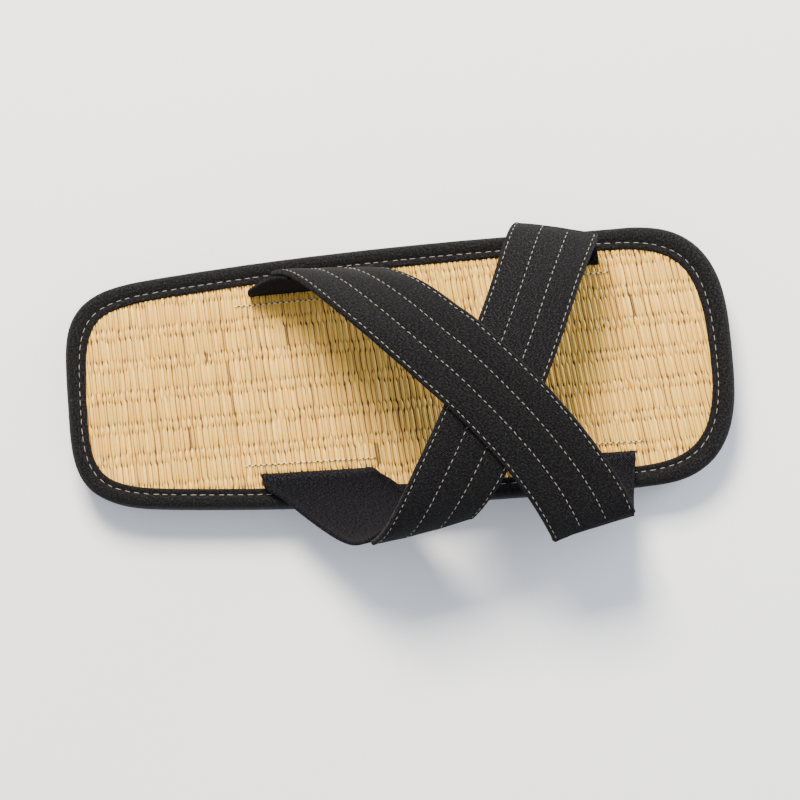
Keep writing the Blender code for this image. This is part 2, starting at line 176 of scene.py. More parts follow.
def dress(piece, slot, *nodes):
    """Puts a piece on the one body and hides the solids that it stands for."""
    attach(piece, "root")
    if nodes:
        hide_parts(*nodes)
    return piece


def smoothstep(value):
    t = np.clip(value, 0.0, 1.0)
    return t * t * (3.0 - 2.0 * t)


# %% Slow random waves, for cloth that is never quite even
def waves(u, v, scale, count=7, seed=3):
    """A smooth random field from -1 to 1 over two coordinates, made of a few crossing sine waves."""
    source = np.random.default_rng(seed)
    total = np.zeros(np.broadcast(u, v).shape)
    for _ in range(count):
        heading = source.uniform(0.0, math.tau)
        length = scale * source.uniform(0.6, 1.6)
        phase = source.uniform(0.0, math.tau)
        total = total + np.sin((u * math.cos(heading) + v * math.sin(heading)) * math.tau / length + phase)
    return total / count


# %% [markdown]
# ## Shader groups shared by the finishes
#
# The cloths all show a weave, uneven tone and some lint. Each effect is one node group with named inputs, so
# that every cloth can place it with its own values.

# %% Node helpers
def new_group(name, inputs, outputs):
    """A shader node group with float inputs, as (name, default), and outputs, as (name, type)."""
    group = bpy.data.node_groups.new(name, "ShaderNodeTree")
    for socket, default in inputs:
        made = group.interface.new_socket(name=socket, in_out="INPUT", socket_type="NodeSocketFloat")
        made.default_value = default
    for socket, kind in outputs:
        group.interface.new_socket(name=socket, in_out="OUTPUT", socket_type=kind)
    return group, group.nodes.new("NodeGroupInput"), group.nodes.new("NodeGroupOutput")


def math_node(tree, operation, a, b=None):
    """A Math node whose inputs are sockets or numbers. Returns its output."""
    node = tree.nodes.new("ShaderNodeMath")
    node.operation = operation
    for socket, value in zip(node.inputs, (a,) if b is None else (a, b)):
        if isinstance(value, float):
            socket.default_value = value
        else:
            tree.links.new(value, socket)
    return node.outputs[0]


def product(tree, a, b):
    return math_node(tree, "MULTIPLY", a, b)


def set_inputs(node, **values):
    """Sets inputs of a node by name. An underscore stands for a space."""
    for name, value in values.items():
        node.inputs[name.replace("_", " ")].default_value = value


def texture_place(tree, kind="Object"):
    return tree.nodes.new("ShaderNodeTexCoord").outputs[kind]


def noise_node(tree, place, scale, detail=3.0, roughness=0.55):
    """A Noise Texture at a fixed scale. Returns its value output."""
    node = tree.nodes.new("ShaderNodeTexNoise")
    set_inputs(node, Scale=scale, Detail=detail, Roughness=roughness)
    tree.links.new(place, node.inputs["Vector"])
    return node.outputs["Fac"]


# %% Woven cloth: threads along and across the flat pattern, with slubs
SLUB_SCALE, GRAIN_SCALE = 900.0, 1350.0
GRAIN_FLOOR, GRAIN_SPREAD, GRAIN_POWER = 0.38, 4.2, 2.2


def build_weave_group():
    """Threads at a pitch in metres. Puts out a height from 0 to 1 and a tone from 0 to 1."""
    group, start, end = new_group(
        "Woven Threads",
        (("Pitch", 0.0006), ("Twill", 0.5), ("Slub", 0.35)),
        (("Height", "NodeSocketFloat"), ("Tone", "NodeSocketFloat")),
    )
    place = texture_place(group, "UV")
    parts = group.nodes.new("ShaderNodeSeparateXYZ")
    group.links.new(place, parts.inputs[0])
    frequency = math_node(group, "DIVIDE", math.tau, start.outputs["Pitch"])
    along = product(group, parts.outputs["X"], frequency)
    across = product(group, parts.outputs["Y"], frequency)
    warp = math_node(group, "SINE", along)
    weft = math_node(group, "SINE", across)
    plain = product(group, warp, weft)
    slant = math_node(group, "ADD", along, product(group, across, 0.5))
    diagonal = math_node(group, "SINE", slant)
    blend = group.nodes.new("ShaderNodeMix")
    group.links.new(start.outputs["Twill"], blend.inputs["Factor"])
    group.links.new(plain, blend.inputs["A"])
    group.links.new(diagonal, blend.inputs["B"])
    slubs = noise_node(group, place, SLUB_SCALE, detail=2.0)
    thread = product(group, math_node(group, "ADD", blend.outputs["Result"], 1.0), 0.5)
    height = math_node(group, "ADD", thread, product(group, slubs, start.outputs["Slub"]))
    grain = noise_node(group, place, GRAIN_SCALE, detail=5.0, roughness=0.85)
    spread = product(group, math_node(group, "SUBTRACT", grain, GRAIN_FLOOR), GRAIN_SPREAD)
    limited = math_node(group, "MINIMUM", math_node(group, "MAXIMUM", spread, 0.0), 1.0)
    tone = math_node(group, "POWER", limited, GRAIN_POWER)
    group.links.new(height, end.inputs["Height"])
    group.links.new(tone, end.inputs["Tone"])
    return group


WEAVE_GROUP = build_weave_group()
print("weave group ready")


# %% Lint and dust: pale flecks that settle on dark cloth
FLECK_SCALE, FLECK_PATCH_SCALE = 1500.0, 60.0
FLECK_FLOOR, FLECK_GAIN = 0.66, 9.0


def build_lint_group():
    """Fine pale flecks, as a mask from 0 to 1."""
    group, start, end = new_group("Lint", (("Amount", 0.5),), (("Mask", "NodeSocketFloat"),))
    place = texture_place(group)
    flecks = noise_node(group, place, FLECK_SCALE, detail=1.0)
    patches = noise_node(group, place, FLECK_PATCH_SCALE, detail=2.0)
    sparse = product(group, math_node(group, "SUBTRACT", flecks, FLECK_FLOOR), FLECK_GAIN)
    mask = product(group, math_node(group, "MAXIMUM", sparse, 0.0), patches)
    amount = product(group, mask, start.outputs["Amount"])
    group.links.new(math_node(group, "MINIMUM", amount, 1.0), end.inputs["Mask"])
    return group


LINT_GROUP = build_lint_group()
print("lint group ready")


# %% Material helpers
def new_material(name, **values):
    """A material whose Principled shader holds constant values, with its node tree and that shader."""
    mat = bpy.data.materials.new(name)
    mat.use_nodes = True
    shader = mat.node_tree.nodes["Principled BSDF"]
    set_inputs(shader, **values)
    return mat, mat.node_tree, shader


def place_group(tree, group, **values):
    node = tree.nodes.new("ShaderNodeGroup")
    node.node_tree = group
    set_inputs(node, **values)
    return node


def mix_colours(tree, factor, low, high):
    """A colour between two others, which are colours or sockets. Returns the output."""
    node = tree.nodes.new("ShaderNodeMix")
    node.data_type = "RGBA"
    tree.links.new(factor, node.inputs["Factor"])
    for socket, value in zip([socket for socket in node.inputs if socket.type == "RGBA"], (low, high)):
        if isinstance(value, tuple):
            socket.default_value = (*value, 1.0)
        else:
            tree.links.new(value, socket)
    return [socket for socket in node.outputs if socket.type == "RGBA"][0]


def speckled_material(name, dark, light, scale, detail=3.0, spread=0.55, **values):
    """A material between two tones. Returns it, its tree, its shader, its texture place and the noise."""
    mat, tree, shader = new_material(name, **values)
    place = texture_place(tree)
    noise = noise_node(tree, place, scale, detail, spread)
    tree.links.new(mix_colours(tree, noise, dark, light), shader.inputs["Base Color"])
    return mat, tree, shader, place, noise


def bump(tree, shader, height, distance):
    node = tree.nodes.new("ShaderNodeBump")
    set_inputs(node, Distance=distance)
    tree.links.new(height, node.inputs["Height"])
    tree.links.new(node.outputs["Normal"], shader.inputs["Normal"])


# %% [markdown]
# ## Dark cloth, webbing, thread and rubber
#
# The straps and the tape are a matte charcoal cotton, the gussets a closer blue-black elastic, and all of
# them scatter a little light at glancing angles, which is the sheen of short fibres. The stitches are a
# pale undyed thread.

# %% Cloth finish
CLOTH_ROUGHNESS, CLOTH_SPECULAR, SHEEN_ROUGHNESS = 0.95, 0.04, 0.45
LINT_COLOUR = (0.30, 0.29, 0.27)


def cloth(name, dark, light, sheen, pitch, twill, relief, lint):
    """Matte woven cloth between two tones, with threads at a pitch in metres."""
    mat, tree, shader = new_material(name, Roughness=CLOTH_ROUGHNESS, Specular_IOR_Level=CLOTH_SPECULAR,
                                     Sheen_Weight=sheen, Sheen_Roughness=SHEEN_ROUGHNESS)
    weave = place_group(tree, WEAVE_GROUP, Pitch=pitch, Twill=twill)
    specks = place_group(tree, LINT_GROUP, Amount=lint)
    base = mix_colours(tree, weave.outputs["Tone"], dark, light)
    colour = mix_colours(tree, specks.outputs["Mask"], base, LINT_COLOUR)
    tree.links.new(colour, shader.inputs["Base Color"])
    bump(tree, shader, weave.outputs["Height"], relief)
    return mat


STRAP_CLOTH = cloth("strap_cloth", (0.002, 0.002, 0.002), (0.027, 0.027, 0.031),
                    sheen=0.03, pitch=0.62 * MM, twill=0.8, relief=0.22 * MM, lint=0.12)
TAPE_CLOTH = cloth("tape_cloth", (0.002, 0.002, 0.002), (0.030, 0.029, 0.032),
                   sheen=0.06, pitch=0.55 * MM, twill=0.2, relief=0.20 * MM, lint=0.12)
GUSSET_WEB = cloth("gusset_web", (0.001, 0.001, 0.002), (0.029, 0.029, 0.036),
                   sheen=0.02, pitch=0.95 * MM, twill=0.0, relief=0.50 * MM, lint=0.10)
print("three cloths ready")


# %% Thread finish
THREAD_TONE_SCALE, THREAD_TWIST_SCALE = 700.0, 900.0


def thread_finish(name, dark, light):
    mat, tree, shader, place, _ = speckled_material(name, dark, light, THREAD_TONE_SCALE, 2.0,
                                                    Roughness=0.75, Sheen_Weight=0.1)
    twist = tree.nodes.new("ShaderNodeTexWave")
    set_inputs(twist, Scale=THREAD_TWIST_SCALE)
    tree.links.new(place, twist.inputs["Vector"])
    bump(tree, shader, twist.outputs["Fac"], 0.05 * MM)
    return mat


CLOTH_THREAD = thread_finish("cloth_thread", (0.12, 0.11, 0.095), (0.34, 0.32, 0.29))
MAT_THREAD = thread_finish("mat_thread", (0.66, 0.56, 0.38), (0.96, 0.86, 0.62))
# Near-black dashes of painted shade, standing for the needle holes between the pale stitches
NEEDLE_HOLE_SHADE = thread_finish("needle_hole", (0.02, 0.014, 0.008), (0.05, 0.035, 0.020))


# %% Rubber finish
SCUFF_SCALE, PEBBLE_SCALE = 90.0, 1100.0
SMOOTHEST_RUBBER, SCUFF_ROUGHNESS = 0.45, 0.35


def rubber_finish():
    """Black moulded rubber with a fine pebble and a little scuffing."""
    mat, tree, shader, place, scuffs = speckled_material(
        "sole_rubber_finish", (0.007, 0.007, 0.007), (0.020, 0.019, 0.019), SCUFF_SCALE, 5.0, 0.65,
        Roughness=0.62, Specular_IOR_Level=0.15)
    rough = math_node(tree, "ADD", product(tree, scuffs, SCUFF_ROUGHNESS), SMOOTHEST_RUBBER)
    tree.links.new(rough, shader.inputs["Roughness"])
    pebble = tree.nodes.new("ShaderNodeTexVoronoi")
    set_inputs(pebble, Scale=PEBBLE_SCALE)
    tree.links.new(place, pebble.inputs["Vector"])
    bump(tree, shader, pebble.outputs["Distance"], 0.12 * MM)
    return mat


RUBBER = rubber_finish()
print("thread and rubber ready")


# %% [markdown]
# ## Rush
#
# Each strand of dried rush has its own colour, from pale straw to honey with a few greenish ones, and fine
# lengthwise fibres. A number kept on every strand of the mesh picks its colour from a ramp, and a stretched
# noise draws the fibres.

# %% Rush finish
SMOOTHEST_RUSH, FIBRE_ROUGHNESS = 0.38, 0.25
FIBRE_SCALE, STAIN_SCALE, FIBRE_STRETCH = 4200.0, 1300.0, 0.12
STAIN, STAIN_SHARE = (0.48, 0.27, 0.060), 0.35
# Place along the ramp and colour. The first two are the ramp's own ends, and the others lie between them.
RUSH_STOPS = (
    (0.00, (0.22, 0.110, 0.026)),
    (1.00, (1.00, 0.66, 0.15)),
    (0.12, (0.55, 0.285, 0.044)),
    (0.35, (0.77, 0.43, 0.058)),
    (0.52, (0.89, 0.515, 0.074)),
    (0.64, (0.74, 0.495, 0.074)),
    (0.76, (0.97, 0.595, 0.098)),
)


def rush_finish():
    """Dried rush whose colour follows the tone kept on the mesh."""
    mat, tree, shader = new_material("rush_strand", Roughness=0.50, Specular_IOR_Level=0.65)
    strand = tree.nodes.new("ShaderNodeAttribute")
    strand.attribute_name = "tone"
    ramp = tree.nodes.new("ShaderNodeValToRGB")
    for element, (position, colour) in zip(ramp.color_ramp.elements, RUSH_STOPS[:2]):
        element.position = position
        element.color = (*colour, 1.0)
    for position, colour in RUSH_STOPS[2:]:
        ramp.color_ramp.elements.new(position).color = (*colour, 1.0)
    tree.links.new(strand.outputs["Fac"], ramp.inputs["Fac"])
    place = texture_place(tree)
    stretch = tree.nodes.new("ShaderNodeMapping")
    set_inputs(stretch, Scale=(1.0, FIBRE_STRETCH, 1.0))
    tree.links.new(place, stretch.inputs["Vector"])
    fibres = noise_node(tree, stretch.outputs["Vector"], FIBRE_SCALE, detail=2.0)
    stains = noise_node(tree, stretch.outputs["Vector"], STAIN_SCALE, detail=3.0)
    share = product(tree, stains, STAIN_SHARE)
    tree.links.new(mix_colours(tree, share, ramp.outputs["Color"], STAIN), shader.inputs["Base Color"])
    rough = math_node(tree, "ADD", product(tree, fibres, FIBRE_ROUGHNESS), SMOOTHEST_RUSH)
    tree.links.new(rough, shader.inputs["Roughness"])
    bump(tree, shader, fibres, 0.05 * MM)
    return mat


RUSH = rush_finish()


# %% Rush backing: the same straw, painted dark as the shade below the strands
BACKING_SHADE_DARK, BACKING_SHADE_LIGHT, BACKING_SCALE = (0.045, 0.022, 0.007), (0.12, 0.062, 0.018), 500.0


def backing_finish():
    """The underlay of the mat, painted dark as the shade that shows in the gaps."""
    mat, tree, shader, _, noise = speckled_material("rush_backing_painted_shade", BACKING_SHADE_DARK, BACKING_SHADE_LIGHT,
                                                    BACKING_SCALE, Roughness=0.85)
    bump(tree, shader, noise, 0.2 * MM)
    return mat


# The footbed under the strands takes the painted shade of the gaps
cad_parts["insole_mat"].data.materials.clear()
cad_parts["insole_mat"].data.materials.append(backing_finish())
print("rush and its backing ready")

# %% [markdown]
# ## Outsole
#
# The outsole is a plain block of black rubber, rolled up a little under the toe and the heel. The solid
# already has that form, so the dressed one only repeats it with more points round its corners and a
# softened edge. Its wall is very slightly wavy, as moulded rubber is. The hidden tread is left plain.

# %% Outsole
OUTSOLE_INSET = 0.8 * MM
TREAD_EDGE, TOP_EDGE = 1.5 * MM, 1.0 * MM
WALL_WAVE, WALL_WAVE_TURNS = 0.12 * MM, 9.0
TOE_SPRING, TOE_SPRING_LENGTH = 2.2 * MM, 0.040
HEEL_ROLL, HEEL_ROLL_LENGTH = 1.0 * MM, 0.022


def edge_ring(inset, height):
    """The outline moved inward, at a height that may change from point to point."""
    flat = EDGE + EDGE_INWARD * np.broadcast_to(inset, len(EDGE))[:, None]
    return np.column_stack([flat, np.broadcast_to(height, len(EDGE))])


def bottom_rise(x):
    """How far the underside lifts off the floor at the toe and at the heel."""
    toe = np.clip((x - SOLE_LENGTH / 2 + TOE_SPRING_LENGTH) / TOE_SPRING_LENGTH, 0.0, 1.0)
    heel = np.clip((HEEL_ROLL_LENGTH - SOLE_LENGTH / 2 - x) / HEEL_ROLL_LENGTH, 0.0, 1.0)
    return TOE_SPRING * toe ** 2 + HEEL_ROLL * heel ** 2


def strip_caps(first, size):
    """Strips across the sole, from each point on the left to its mirror on the right."""
    half = size // 2
    strips = [(first, first + 1, first + size - 1), (first + half - 1, first + half, first + half + 1)]
    strips += [(first + i, first + i + 1, first + size - i - 1, first + size - i) for i in range(1, half - 1)]
    return strips


def make_outsole():
    rise = bottom_rise(EDGE[:, 0])
    quarter = np.linspace(0.0, math.pi / 2, 5)
    rings = [edge_ring(OUTSOLE_INSET + TREAD_EDGE * (1 - math.sin(a)), rise + TREAD_EDGE * (1 - math.cos(a)))
             for a in quarter]
    levels = np.linspace(0.25, 0.8, 4)
    rings += [edge_ring(OUTSOLE_INSET + WALL_WAVE * math.sin(WALL_WAVE_TURNS * level),
                        OUTSOLE_TOP * level + rise * (1 - level)) for level in levels]
    rings += [edge_ring(OUTSOLE_INSET + TOP_EDGE * (1 - math.cos(a)),
                        OUTSOLE_TOP - TOP_EDGE * (1 - math.sin(a))) for a in quarter]
    size = len(EDGE)
    faces = ring_faces(len(rings), size, closed_stack=False).tolist()
    faces += [strip[::-1] for strip in strip_caps(0, size)]
    faces += strip_caps((len(rings) - 1) * size, size)
    return make_piece("outsole_rubber", np.vstack(rings), [f[::-1] for f in faces], RUBBER)


dress(make_outsole(), "sole_rubber", "outsole")

# %% [markdown]
# ## Edge tape
#
# The tape is folded round the rim of the footbed and sewn down by one row of stitches. The thread pulls the
# cloth into a groove, so the tape stands proud on both sides of it, and it gathers slightly at each stitch
# and more round the corners. The section below goes round the fold from the inner edge to the underside.

# %% Edge tape
TAPE_SEAM = 5.25 * MM
TAPE_TOP = FOOTBED_HIGH + 0.3 * MM
EDGE_STITCH_PITCH = 3.8 * MM
SEAM_REACH, FOLD_WAVE, SLIDE_WAVE = 1.3 * MM, 9.0 * MM, 14.0 * MM
# Millimetres by which the tape gathers at a stitch, folds, folds more in a corner, and slides sideways
GATHER, FOLD, CORNER_FOLD, SLIDE = 0.07, 0.06, 0.16, 0.10
# Distance in from the edge and height over the tape's seat, in millimetres, and how freely the row moves
TAPE_SECTION = (
    (7.70, 0.10, 0.2), (7.72, 0.55, 0.5), (7.55, 0.95, 0.6), (7.10, 1.20, 0.8), (6.50, 1.25, 1.0),
    (5.85, 1.05, 1.0), (5.42, 0.72, 0.6), (5.25, 0.66, 0.3), (5.05, 0.74, 0.6), (4.55, 1.15, 1.0),
    (4.00, 1.50, 1.0), (3.10, 1.68, 1.0), (2.10, 1.55, 0.9), (1.20, 1.12, 0.8), (0.50, 0.35, 0.7),
    (0.12, -0.75, 0.6), (0.00, -2.00, 0.6), (0.05, -3.40, 0.5), (0.30, -4.70, 0.4), (0.90, -5.75, 0.3),
    (1.80, -6.15, 0.1), (6.00, -6.45, 0.0), (6.00, -5.60, 0.0), (2.00, -5.30, 0.0), (1.25, -4.60, 0.0),
    (1.15, -1.40, 0.0), (1.60, -0.05, 0.0),
)


def corner_bend():
    """How sharply the outline turns at each point, from 0 on the straight to about 1 at the corners."""
    heading = np.unwrap(np.arctan2(EDGE_RUN[:, 1], EDGE_RUN[:, 0]))
    turn = np.abs(np.gradient(heading))
    wide = np.ones(15) / 15
    turn = np.convolve(np.concatenate([turn[-7:], turn, turn[:7]]), wide, mode="valid")
    return np.clip(turn / turn.max(), 0.0, 1.0)


CORNER_BEND = corner_bend()
LEFT_WIDENING, CORNER_WIDENING = 0.15, 0.09
TOE_PUFF, TOE_PUFF_START, TOE_PUFF_FADE = 1.4 * MM, 0.080, 0.045
UNDERSIDE = -5.0


def tape_widening():
    """How much wider the tape is laid than on the right side. The hand-fed tape creeps in on the left."""
    return 1.0 + LEFT_WIDENING * smoothstep(EDGE[:, 1] / 0.05 + 0.3) + CORNER_WIDENING * CORNER_BEND


def make_edge_tape():
    travel = EDGE_TRAVEL[:-1]
    gather = np.cos(travel * math.tau / EDGE_STITCH_PITCH)
    fold = waves(travel, np.zeros_like(travel), FOLD_WAVE, seed=5)
    widening = tape_widening()
    toe = smoothstep((EDGE[:, 0] - TOE_PUFF_START) / TOE_PUFF_FADE)
    rings = []
    flat = []
    walked = 0.0
    previous = None
    for inset, height, share in TAPE_SECTION:
        near_seam = math.exp(-((inset * MM - TAPE_SEAM) / SEAM_REACH) ** 2) if height > 0 else 0.0
        lift = share * (GATHER * gather * near_seam + (FOLD + CORNER_FOLD * CORNER_BEND) * fold)
        slide = share * SLIDE * waves(travel, np.full_like(travel, height * MM), SLIDE_WAVE, seed=8)
        puff = TOE_PUFF * toe * max(0.0, 1.0 - inset * MM / TAPE_SEAM) if height > UNDERSIDE else 0.0
        reach = (inset + slide) * MM * (widening if height > 0 else 1.0)
        rings.append(edge_ring(reach - puff, TAPE_TOP + (height + lift) * MM))
        walked += 0.0 if previous is None else math.dist(previous, (inset, height)) * MM
        previous = (inset, height)
        flat.append(np.column_stack([travel, np.full_like(travel, walked)]))
    faces = ring_faces(len(rings), len(EDGE), closed_stack=True)
    return make_piece("edge_tape", np.vstack(rings), faces[:, ::-1], TAPE_CLOTH, flat=np.vstack(flat))


dress(make_edge_tape(), "binding_tape", "edge_binding")

# %% [markdown]
# ## Stitches
#
# Thread is modelled, not painted, because each dash catches the light and dips into the cloth at both ends.
# One function lays dashes along any path, with the small differences in length and slant that a hand-fed
# machine makes.

# %% Stitch maker
THREAD_RADIUS, DASH_SINK = 0.15 * MM, 0.10 * MM
DASH_PLACE_SPREAD, DASH_SLANT_SPREAD, DASH_LENGTHS = 0.06, 0.05, (0.86, 1.10)
DASH_SIDES = 6
DASH_RINGS = np.array([-1.0, -0.82, -0.4, 0.0, 0.4, 0.82, 1.0])


def dashes(path, pitch, length, up=None, offset=0.0, radius=THREAD_RADIUS):
    """Points and faces of a row of stitches along a path, with outward directions or else facing up."""
    up = np.tile((0.0, 0.0, 1.0), (len(path), 1)) if up is None else up
    travel = travel_along(path)
    points = []
    faces = []
    angle = np.arange(DASH_SIDES) * math.tau / DASH_SIDES
    for centre in np.arange(offset + pitch / 2, travel[-1] - length / 2, pitch):
        middle = centre + rng.normal(0.0, DASH_PLACE_SPREAD) * pitch
        half = length / 2 * rng.uniform(*DASH_LENGTHS)
        skew = rng.normal(0.0, DASH_SLANT_SPREAD)
        places = middle + DASH_RINGS * half
        spine = sample(places, travel, path)
        out = sample(places, travel, up)
        out /= np.linalg.norm(out, axis=1)[:, None]
        run = np.gradient(spine, axis=0)
        run /= np.linalg.norm(run, axis=1)[:, None]
        side = np.cross(out, run)
        thick = radius * np.sqrt(np.clip(1.02 - DASH_RINGS ** 2, 0.0, 1.0)) ** 0.6
        rise = radius * 0.75 - (radius + DASH_SINK) * DASH_RINGS ** 4
        spine = spine + out * rise[:, None] + side * (DASH_RINGS * half * skew)[:, None]
        first = sum(len(block) for block in points)
        circle = np.cos(angle)[:, None] * side[:, None, :] + np.sin(angle)[:, None] * out[:, None, :]
        points.append((spine[:, None, :] + thick[:, None, None] * circle).reshape(-1, 3))
        faces.append(ring_faces(len(DASH_RINGS), DASH_SIDES, closed_stack=False) + first)
    return np.vstack(points), np.vstack(faces)


def cap_dashes(count):
    size = DASH_SIDES * len(DASH_RINGS)
    caps = []
    for first in range(0, count * size, size):
        caps.append(list(range(first + DASH_SIDES - 1, first - 1, -1)))
        caps.append(list(range(first + size - DASH_SIDES, first + size)))
    return caps


def stitch_piece(name, rows, slot, thread=CLOTH_THREAD):
    """One mesh from several rows of dashes, each given as points and faces."""
    points = np.vstack([row for row, _ in rows])
    offsets = np.cumsum([0] + [len(row) for row, _ in rows[:-1]])
    faces = np.vstack([block + first for (_, block), first in zip(rows, offsets)]).tolist()
    faces += cap_dashes(len(points) // (DASH_SIDES * len(DASH_RINGS)))
    return dress(make_piece(name, points, faces, thread), slot)


# %% The row round the edge
EDGE_SEAM_HEIGHT, EDGE_STITCH, EDGE_THREAD_RADIUS = 0.64 * MM, 2.6 * MM, 0.16 * MM


def edge_seam():
    loop = edge_ring(TAPE_SEAM * tape_widening(), TAPE_TOP + EDGE_SEAM_HEIGHT)
    return dashes(np.vstack([loop, loop[:1]]), EDGE_STITCH_PITCH, EDGE_STITCH, radius=EDGE_THREAD_RADIUS)


stitch_piece("edge_stitches", [edge_seam()], "binding_tape")

# %% [markdown]
# ## The last
#
# Straps have no shape of their own: they stand around a foot. The space under them is one cross-section that
# changes along the sandal, with an arch over the instep, a bulge at each side and a curl back in to the
# slots. The sag moves it toward the right, as the photographed shoe hangs.
# A strap is then drawn on that surface unrolled flat: s is the distance travelled from the crown toward
# the left, and the centre line says how far forward it is at each s.

# %% Sizes of the last and the straps
INSTEP_HEIGHT, INSTEP_STATION, INSTEP_FALL = 0.0490, 0.0370, 0.08
LAST_HALF_WIDTH, LAST_WIDTH_STATION, LAST_SPREAD = 0.0573, 0.0200, 0.09
REAR_LEFT_PINCH = 0.0024
FULL_CURL_REACH = 0.0080
REAR_LEFT_PINCH_START, REAR_LEFT_PINCH_FADE = 0.0450, 0.0450
BULGE_HEIGHT, SIDE_SAG, CURL_HEIGHT = 0.0190, 0.0110, 0.0024
REAR_SLOT, FRONT_LEFT_SLOT, FRONT_RIGHT_SLOT = -0.0360, 0.0660, 0.0740
REAR_SLOT_OFFSET, FRONT_SLOT_OFFSET = 0.0385, 0.0402
GUSSET_TURN, GUSSET_THICK, GUSSET_DEPTH, CLEARANCE = 2.0 * MM, 1.2 * MM, 5.4 * MM, 0.3 * MM
STRAP_WIDTH, STRAP_REACH, FLARE_START = 0.0332, 0.0660, 0.0300
LEFT, RIGHT = 1, -1
# Per strap: where it crosses the crown, how it runs and bends, and per end how far it flares, slants or is cut
STRAPS = {
    "under": {"crown": 0.0405, "slope": 0.485, "bow": -0.0049, "ease": 0.0,
              "flare": {LEFT: 0.0040, RIGHT: 0.0045}, "slant": {LEFT: 0.0030, RIGHT: 0.0040},
              "corner": {RIGHT: 0.0042}, "cut": {}},
    "over": {"crown": 0.0302, "slope": -0.923, "bow": -0.0078, "ease": 0.0104,
             "flare": {LEFT: 0.0030, RIGHT: 0.0035}, "slant": {LEFT: 0.0040, RIGHT: 0.0030},
             "corner": {LEFT: 0.0050}, "cut": {RIGHT: 0.0032}},
}


# %% The section of the last
def slot_offset(x):
    """How far out the gusset line runs at a station, through both slots."""
    share = (x - REAR_SLOT) / (FRONT_RIGHT_SLOT - REAR_SLOT)
    return REAR_SLOT_OFFSET + share * (FRONT_SLOT_OFFSET - REAR_SLOT_OFFSET)


def section(x, side):
    """Distance travelled, y and z along one side of the last, and where its turn into the slot starts."""
    bulge = LAST_HALF_WIDTH + LAST_SPREAD * (x - LAST_WIDTH_STATION)
    if side == LEFT:
        bulge -= REAR_LEFT_PINCH * smoothstep((REAR_LEFT_PINCH_START - x) / REAR_LEFT_PINCH_FADE)
    crown = INSTEP_HEIGHT - INSTEP_FALL * (x - INSTEP_STATION)
    reach = bulge - side * SIDE_SAG
    spread = float(np.clip((reach - slot_offset(x) - GUSSET_TURN) / FULL_CURL_REACH, 0.0, 1.0))
    turn_width = GUSSET_TURN * spread
    inner = slot_offset(x) + turn_width
    arch = np.linspace(0.0, math.pi / 2, 97)
    arch_y = side * bulge * np.sin(arch) - SIDE_SAG
    arch_z = BULGE_HEIGHT + (crown - BULGE_HEIGHT) * np.cos(arch)
    curl_y = side * (inner + (reach - inner) * np.cos(arch[1:]))
    drop = spread * np.sin(arch[1:]) + (1.0 - spread) * (1.0 - np.cos(arch[1:]))
    curl_z = BULGE_HEIGHT - (BULGE_HEIGHT - CURL_HEIGHT) * drop
    turn = arch[8::8]
    turn_y = side * (inner - turn_width * np.sin(turn))
    turn_z = CURL_HEIGHT - GUSSET_TURN * (1.0 - np.cos(turn))
    y = np.concatenate([arch_y, curl_y, turn_y, [side * (inner - turn_width)]])
    z = np.concatenate([arch_z, curl_z, turn_z, [-GUSSET_DEPTH]])
    travel = np.concatenate([[0.0], np.cumsum(np.hypot(np.diff(y), np.diff(z)))])
    return travel, y, z, travel[len(arch_y) + len(curl_y) - 1]


def last_point(x, s, lean=0.0):
    """The point at travel s from the crown, left positive, moved outward by lean."""
    side = LEFT if s >= 0 else RIGHT
    travel, y, z, _ = section(x, side)
    out = np.interp(abs(s), travel, y) + side * lean
    return np.array([x, out, np.interp(abs(s), travel, z) + FOOTBED_HIGH])


# %% A strap on the unrolled last
def centre_line(strap, s):
    """Station of a strap's centre line, and how fast it runs toward the toe."""
    share = s / STRAP_REACH
    bend = strap["bow"] * share ** 2 + strap["ease"] * share ** 3
    turn = (2.0 * strap["bow"] * share + 3.0 * strap["ease"] * share ** 2) / STRAP_REACH
    return strap["crown"] + strap["slope"] * s + bend, strap["slope"] + turn


def strap_end(strap, v, side):
    """Travel along the centre line at which the lengthwise line v of a strap ends."""
    corner = strap["corner"].get(side, 0.0) * max(-v, 0.0) ** 2
    reach = side * (STRAP_REACH - strap["cut"].get(side, 0.0) - corner - strap["slant"][side] * v)
    _, run = centre_line(strap, reach)
    return reach + v * STRAP_WIDTH / 2 * run / math.hypot(1.0, run)


def unrolled(strap, s, v):
    """Station and travel of a point on a strap: v is its place across, from -1 at the heel edge to 1."""
    station, run = centre_line(strap, s)
    across = v * STRAP_WIDTH / 2 / math.hypot(1.0, run)
    return station + across, s - across * run


def strap_point(strap, s, v):
    """Where a point of a strap lies on the last, with its ends flared at the heel edge."""
    station, travel = unrolled(strap, s, v)
    side = LEFT if travel >= 0 else RIGHT
    share = (abs(travel) - FLARE_START) / (STRAP_REACH - FLARE_START)
    return last_point(station, travel, -strap["flare"][side] * v * smoothstep(share))


STRAP_LIFT = 2.1 * MM
STRAP_RAMP = 11.0 * MM


def cover(station, travel):
    """How fully a place on the last is covered by the under strap, fading over a ramp beside it."""
    middle, run = centre_line(STRAPS["under"], travel)
    distance = abs(station - middle) / math.hypot(1.0, run)
    return smoothstep((STRAP_WIDTH / 2 + STRAP_RAMP - distance) / STRAP_RAMP)


def outward(grid):
    """Unit normals of a grid of points, rows along the strap and columns across it."""
    normal = np.cross(np.gradient(grid, axis=1), np.gradient(grid, axis=0))
    return normal / np.linalg.norm(normal, axis=2)[:, :, None]


# %% [markdown]
# ## Straps
#
# Each strap is two layers of cloth over a thin wadding, sewn through by four rows of stitches. The rows pull
# the cloth down and leave three soft channels and two thin edges. The form is worked out directly: a
# thickness that is full between the rows and thin on them, with a shallow pucker at each stitch.

